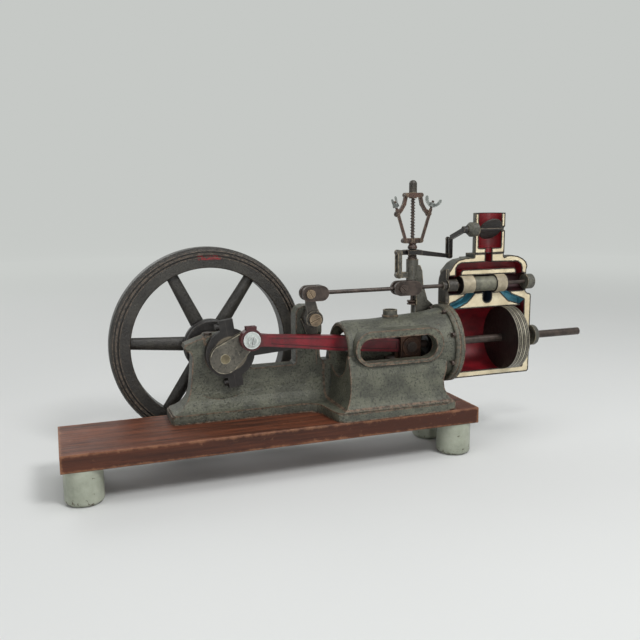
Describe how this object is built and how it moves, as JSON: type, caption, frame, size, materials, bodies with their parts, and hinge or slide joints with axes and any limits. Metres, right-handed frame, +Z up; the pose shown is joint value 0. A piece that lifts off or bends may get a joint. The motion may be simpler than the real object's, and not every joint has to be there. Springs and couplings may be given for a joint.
{
  "type": "model steam engine",
  "caption": "Sectioned horizontal steam engine on a wooden board with four feet: crank, flywheel, guided crosshead, cut-open cylinder, slide valve and governor.",
  "frame": {"origin": "centre of the bounding box at floor level, under the board", "axes": "+X runs along the board from the flywheel end to the cylinder end, +Y from the sectioned front to the flywheel side, +Z up"},
  "size_m": [0.5515, 0.15, 0.275],
  "materials": {
    "mahogany": "worn satin",
    "mint_enamel": "chipped gloss enamel",
    "bed_paint": "worn satin enamel",
    "section_cream": "worn enamel",
    "iron_dark": "dull",
    "black_paint": "satin",
    "red_paint": "worn gloss enamel",
    "steel_brown": "patinated",
    "steel_bright": "satin",
    "zinc": "plated",
    "brass_old": "tarnished",
    "bronze": "tarnished",
    "cream_paint": "worn enamel",
    "piston_iron": "machined"
  },
  "bodies": {
    "frame": {"base_board": "mahogany", "board_feet": "mint_enamel", "bed_casting": "bed_paint", "guide_casting": "bed_paint", "main_bearing": "brass_old", "bearing_cap": "bed_paint", "bearing_cap_screws": "steel_brown", "guide_oil_cup": "iron_dark", "cylinder_cover": "bed_paint", "flange_screws": "steel_brown", "front_gland": "brass_old", "cylinder_block": "section_cream", "rear_gland": "iron_dark", "chest_cover": "iron_dark", "valve_rear_cap": "iron_dark", "throttle_housing": "section_cream", "throttle_gland": "iron_dark", "governor_bracket": "bed_paint", "rocker_pivot_screw": "brass_old"},
    "crank": {"crankshaft": "steel_brown", "crank_web": "iron_dark", "flywheel": "iron_dark", "governor_drive_pulley": "black_paint", "eccentric_sheave": "cream_paint"},
    "con_rod": {"connecting_rod": "red_paint", "crank_pin_screw": "zinc", "crank_pin_washer": "zinc"},
    "crosshead_slide": {"crosshead": "bronze", "crosshead_pin": "steel_brown", "piston_rod": "steel_brown", "piston": "piston_iron", "piston_rings": "steel_bright"},
    "strap": {"eccentric_strap": "steel_brown", "eccentric_strap_cap": "steel_brown", "eccentric_bolts": "steel_brown"},
    "rocker": {"rocker_lever": "iron_dark", "rocker_top_screw": "brass_old"},
    "link": {"valve_link": "steel_brown"},
    "valve": {"valve_rod": "steel_brown", "valve_fork_pin": "steel_brown", "valve_spool": "cream_paint"},
    "governor": {"governor_spindle": "steel_brown", "governor_cap_nut": "iron_dark", "governor_crosspiece": "iron_dark", "governor_pulley": "iron_dark", "governor_spring": "steel_brown"},
    "sleeve": {"governor_sleeve": "iron_dark"},
    "upper_left": {"upper_link_left": "iron_dark"},
    "upper_right": {"upper_link_right": "iron_dark"},
    "lower_left": {"lower_arm_left": "steel_brown", "wing_nut_left": "zinc"},
    "lower_right": {"lower_arm_right": "steel_brown", "wing_nut_right": "zinc"},
    "lever": {"governor_lever": "black_paint"},
    "swing": {"swing_link": "bed_paint"},
    "drop_link": {"throttle_link": "black_paint"},
    "throttle": {"throttle_arm": "black_paint", "throttle_butterfly": "iron_dark"}
  },
  "joints": [
    {"name": "crank_turn", "type": "hinge", "parent": "frame", "child": "crank", "pos_m": [-0.12225, -0.0305, 0.1086], "axis": [0, -1, 0], "continuous": true},
    {"name": "strap_turn", "type": "hinge", "parent": "crank", "child": "strap", "pos_m": [-0.11563, -0.0165, 0.11212], "axis": [0, -1, 0], "continuous": true},
    {"name": "crosshead_travel", "type": "slide", "parent": "frame", "child": "crosshead_slide", "axis": [1, 0, 0], "range_m": [-0.0531, 0.0069]},
    {"name": "con_rod_swing", "type": "hinge", "parent": "crosshead_slide", "child": "con_rod", "pos_m": [0.06633, -0.0305, 0.1086], "axis": [0, 1, 0], "range_deg": [-16.67, 4.23]},
    {"name": "rocker_swing", "type": "hinge", "parent": "frame", "child": "rocker", "pos_m": [-0.03505, -0.0305, 0.142], "axis": [0, 1, 0], "range_deg": [-6.5, 28.5]},
    {"name": "valve_link_swing", "type": "hinge", "parent": "rocker", "child": "link", "pos_m": [-0.04001, -0.0305, 0.16752], "axis": [0, 1, 0], "range_deg": [-28.6, 6.6]},
    {"name": "valve_travel", "type": "slide", "parent": "frame", "child": "valve", "axis": [1, 0, 0], "range_m": [-0.0029, 0.0127]},
    {"name": "governor_turn", "type": "hinge", "parent": "frame", "child": "governor", "pos_m": [0.08675, 0.002, 0.15], "axis": [0, 0, 1], "continuous": true},
    {"name": "sleeve_travel", "type": "slide", "parent": "governor", "child": "sleeve", "axis": [0, 0, 1], "range_m": [0, 0.004], "deforming": ["governor_spring"]},
    {"name": "upper_left_swing", "type": "hinge", "parent": "governor", "child": "upper_left", "pos_m": [0.07875, 0.002, 0.2597], "axis": [0, 1, 0], "range_deg": [-0.1, 12.13]},
    {"name": "upper_right_swing", "type": "hinge", "parent": "governor", "child": "upper_right", "pos_m": [0.09475, 0.002, 0.2597], "axis": [0, -1, 0], "range_deg": [-0.1, 12.13]},
    {"name": "lower_left_swing", "type": "hinge", "parent": "sleeve", "child": "lower_left", "pos_m": [0.07765, 0.002, 0.2125], "axis": [0, -1, 0], "range_deg": [-0.1, 8.22]},
    {"name": "lower_right_swing", "type": "hinge", "parent": "sleeve", "child": "lower_right", "pos_m": [0.09585, 0.002, 0.2125], "axis": [0, 1, 0], "range_deg": [-0.1, 8.22]},
    {"name": "swing_link_swing", "type": "hinge", "parent": "frame", "child": "swing", "pos_m": [0.07075, 0.002, 0.177], "axis": [0, 1, 0], "range_deg": [-0.1, 1.4]},
    {"name": "lever_swing", "type": "hinge", "parent": "swing", "child": "lever", "pos_m": [0.07075, 0.002, 0.2005], "axis": [0, -1, 0], "range_deg": [-0.1, 14.52]},
    {"name": "drop_link_swing", "type": "hinge", "parent": "lever", "child": "drop_link", "pos_m": [0.13025, 0.002, 0.195], "axis": [0, 1, 0], "range_deg": [-0.1, 14.52]},
    {"name": "throttle_turn", "type": "hinge", "parent": "frame", "child": "throttle", "pos_m": [0.13625, -0.0305, 0.2242], "axis": [1, 0, 0], "range_deg": [-0.1, 24.98]}
  ],
  "couplings": [
    {"joint": "strap_turn", "follows": "crank_turn", "ratio": -1},
    {"joint": "valve_link_swing", "follows": "rocker_swing", "ratio": -1},
    {"joint": "valve_travel", "follows": "rocker_swing", "m_per_rad": 0.0252},
    {"joint": "upper_left_swing", "follows": "sleeve_travel", "rad_per_m": 52.042},
    {"joint": "upper_right_swing", "follows": "sleeve_travel", "rad_per_m": 52.042},
    {"joint": "lower_left_swing", "follows": "sleeve_travel", "rad_per_m": 35.012},
    {"joint": "lower_right_swing", "follows": "sleeve_travel", "rad_per_m": 35.012},
    {"joint": "swing_link_swing", "follows": "sleeve_travel", "rad_per_m": 5.236},
    {"joint": "lever_swing", "follows": "sleeve_travel", "rad_per_m": 62.5},
    {"joint": "drop_link_swing", "follows": "sleeve_travel", "rad_per_m": 62.5},
    {"joint": "throttle_turn", "follows": "sleeve_travel", "rad_per_m": 108.1}
  ]
}
